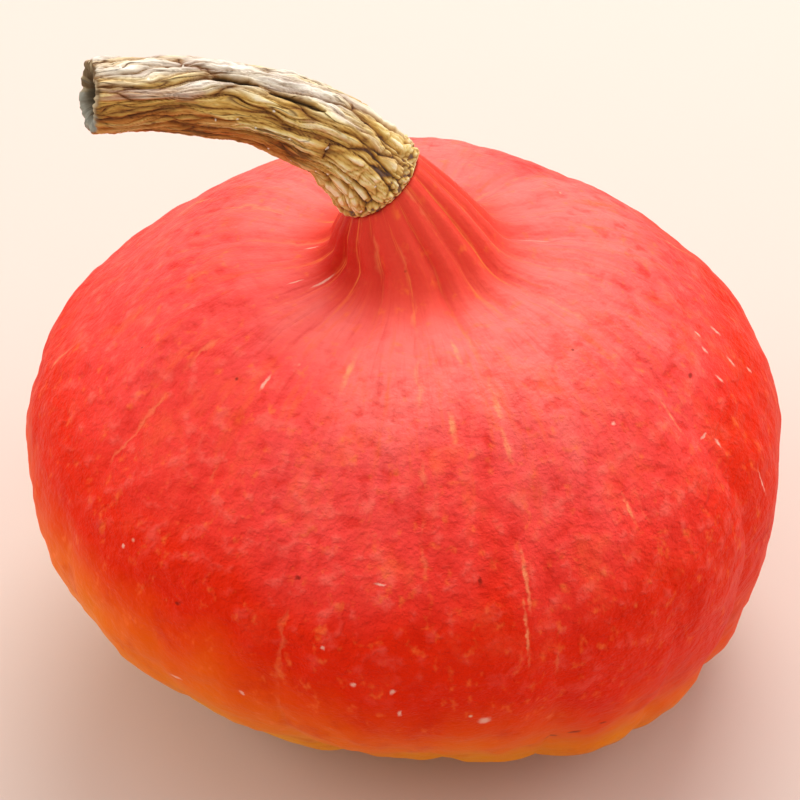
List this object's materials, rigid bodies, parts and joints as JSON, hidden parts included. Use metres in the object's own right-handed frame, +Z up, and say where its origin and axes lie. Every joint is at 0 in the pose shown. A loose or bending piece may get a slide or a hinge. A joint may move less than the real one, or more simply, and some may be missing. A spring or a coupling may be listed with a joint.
{
  "type": "kabocha squash",
  "caption": "Round, broad winter squash with shallow ribs, a raised leaning neck and a dried, furrowed, bent stem, standing on its underside.",
  "frame": {"origin": "on the surface the squash stands on, under the middle of its outline box", "axes": "+Z up through the squash, the stem bends over towards -X, and -Y faces the viewer"},
  "size_m": [0.1698, 0.1708, 0.1658],
  "materials": {
    "skin": "satin",
    "cork": "matte"
  },
  "bodies": {
    "root": {"fruit": "skin", "stem": "cork"}
  },
  "joints": []
}
